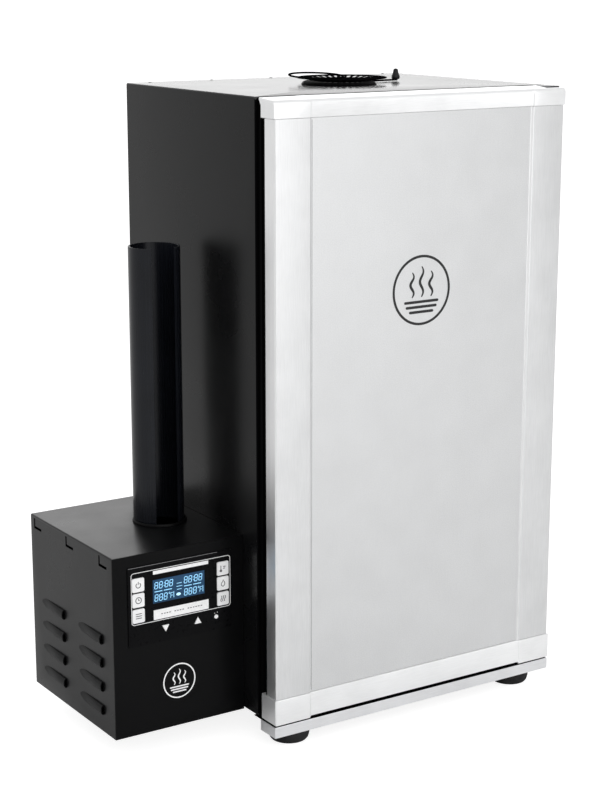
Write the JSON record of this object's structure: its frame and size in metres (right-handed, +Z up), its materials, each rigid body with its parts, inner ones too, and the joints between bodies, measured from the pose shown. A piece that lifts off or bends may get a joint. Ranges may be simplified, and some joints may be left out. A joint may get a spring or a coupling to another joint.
{
  "type": "electric cabinet smoker",
  "caption": "Free-standing electric food smoker: insulated cabinet with a hinged front door and roof vent, and a side smoke generator with a puck tube.",
  "frame": {"origin": "centre of the footprint of the whole object, on the floor under the feet", "axes": "+Z up; the door faces -Y; +X is to the right when facing the door, with the smoke generator on the -X side"},
  "size_m": [0.611, 0.3562, 0.8033],
  "materials": {
    "black_paint": "satin",
    "black_plastic": "satin",
    "panel_gloss": "gloss",
    "black_enamel": "gloss",
    "tube_black": "satin",
    "brushed_steel": "satin",
    "bright_trim": "satin",
    "liner_steel": "satin",
    "arm_aluminium": "satin",
    "chrome_wire": "polished",
    "dark_metal": "satin",
    "motor_case": "satin",
    "rubber": "matte",
    "gasket": "matte",
    "mineral_wool": "matte",
    "key_white": "satin",
    "display_blue": "gloss",
    "led_clear": "gloss",
    "board_green": "satin"
  },
  "bodies": {
    "cabinet": {"cabinet_shell": "black_paint", "back_panel": "black_paint", "base_pan": "black_paint", "cabinet_insulation": "mineral_wool", "inner_liner": "liner_steel", "front_frame": "black_plastic", "base_trim": "bright_trim", "foot_front_left": "rubber", "foot_front_right": "rubber", "foot_rear_left": "rubber", "foot_rear_right": "rubber", "rack_rail_left": "liner_steel", "rack_rail_right": "liner_steel", "smoking_rack_1": "chrome_wire", "smoking_rack_2": "chrome_wire", "smoking_rack_3": "chrome_wire", "smoking_rack_4": "chrome_wire", "drip_tray": "liner_steel", "water_bowl": "liner_steel", "heating_element": "dark_metal", "temperature_probe": "chrome_wire", "vent_collar": "black_enamel", "hinge_bracket_top": "dark_metal", "hinge_bracket_bottom": "dark_metal", "cabinet_power_inlet": "black_plastic"},
    "door": {"door_skin": "brushed_steel", "door_trim_left": "brushed_steel", "door_trim_right": "brushed_steel", "door_top_cap": "bright_trim", "door_bottom_cap": "bright_trim", "door_core": "mineral_wool", "door_liner": "liner_steel", "door_gasket": "gasket"},
    "damper": {"vent_damper": "black_enamel", "vent_lever": "dark_metal", "vent_knob": "black_plastic"},
    "lifting_ring": {"vent_ring": "chrome_wire"},
    "generator": {"generator_cover": "black_paint", "generator_chassis": "black_paint", "generator_front": "black_paint", "control_panel": "panel_gloss", "display": "display_blue", "status_led": "led_clear", "circuit_board": "board_green", "tube_collar": "black_plastic", "burner_arm": "arm_aluminium", "smoke_burner": "dark_metal", "feed_motor": "motor_case", "generator_power_inlet": "black_plastic"},
    "button_left_upper": {"button_left_upper": "key_white"},
    "button_left_middle": {"button_left_middle": "key_white"},
    "button_left_lower": {"button_left_lower": "key_white"},
    "button_right_upper": {"button_right_upper": "key_white"},
    "button_right_middle": {"button_right_middle": "key_white"},
    "button_right_lower": {"button_right_lower": "key_white"},
    "down_button": {"down_button": "key_white"},
    "up_button": {"up_button": "key_white"},
    "feeder_tube": {"feeder_tube": "tube_black"},
    "puck_pusher": {"puck_pusher": "dark_metal"},
    "motor_crank": {"motor_crank": "dark_metal"}
  },
  "joints": [
    {"name": "door_hinge", "type": "hinge", "parent": "cabinet", "child": "door", "pos_m": [0.2965, -0.1589, 0.41], "axis": [0, 0, 1], "range_deg": [0, 115]},
    {"name": "damper_turn", "type": "hinge", "parent": "cabinet", "child": "damper", "pos_m": [0.0895, 0.0071, 0.794], "axis": [0, 0, 1], "range_deg": [-60, 0]},
    {"name": "ring_lift", "type": "hinge", "parent": "damper", "child": "lifting_ring", "pos_m": [0.089, 0.0071, 0.79839], "axis": [0, 1, 0], "range_deg": [0, 110]},
    {"name": "generator_release", "type": "slide", "parent": "cabinet", "child": "generator", "axis": [-1, 0, 0], "range_m": [0, 0.16]},
    {"name": "tube_lift", "type": "slide", "parent": "generator", "child": "feeder_tube", "axis": [0, 0, 1], "range_m": [0, 0.15]},
    {"name": "puck_feed", "type": "slide", "parent": "generator", "child": "puck_pusher", "axis": [1, 0, 0], "range_m": [0, 0.06]},
    {"name": "crank_turn", "type": "hinge", "parent": "generator", "child": "motor_crank", "pos_m": [-0.2225, -0.0149, 0.175], "axis": [0, 1, 0], "continuous": true},
    {"name": "button_left_upper_press", "type": "slide", "parent": "generator", "child": "button_left_upper", "axis": [0, 1, 0], "range_m": [0, 0.0006], "stiffness_N_per_m": 150, "springref_m": -0.0004},
    {"name": "button_left_middle_press", "type": "slide", "parent": "generator", "child": "button_left_middle", "axis": [0, 1, 0], "range_m": [0, 0.0006], "stiffness_N_per_m": 150, "springref_m": -0.0004},
    {"name": "button_left_lower_press", "type": "slide", "parent": "generator", "child": "button_left_lower", "axis": [0, 1, 0], "range_m": [0, 0.0006], "stiffness_N_per_m": 150, "springref_m": -0.0004},
    {"name": "button_right_upper_press", "type": "slide", "parent": "generator", "child": "button_right_upper", "axis": [0, 1, 0], "range_m": [0, 0.0006], "stiffness_N_per_m": 150, "springref_m": -0.0004},
    {"name": "button_right_middle_press", "type": "slide", "parent": "generator", "child": "button_right_middle", "axis": [0, 1, 0], "range_m": [0, 0.0006], "stiffness_N_per_m": 150, "springref_m": -0.0004},
    {"name": "button_right_lower_press", "type": "slide", "parent": "generator", "child": "button_right_lower", "axis": [0, 1, 0], "range_m": [0, 0.0006], "stiffness_N_per_m": 150, "springref_m": -0.0004},
    {"name": "down_button_press", "type": "slide", "parent": "generator", "child": "down_button", "axis": [0, 1, 0], "range_m": [0, 0.0006], "stiffness_N_per_m": 150, "springref_m": -0.0004},
    {"name": "up_button_press", "type": "slide", "parent": "generator", "child": "up_button", "axis": [0, 1, 0], "range_m": [0, 0.0006], "stiffness_N_per_m": 150, "springref_m": -0.0004}
  ]
}
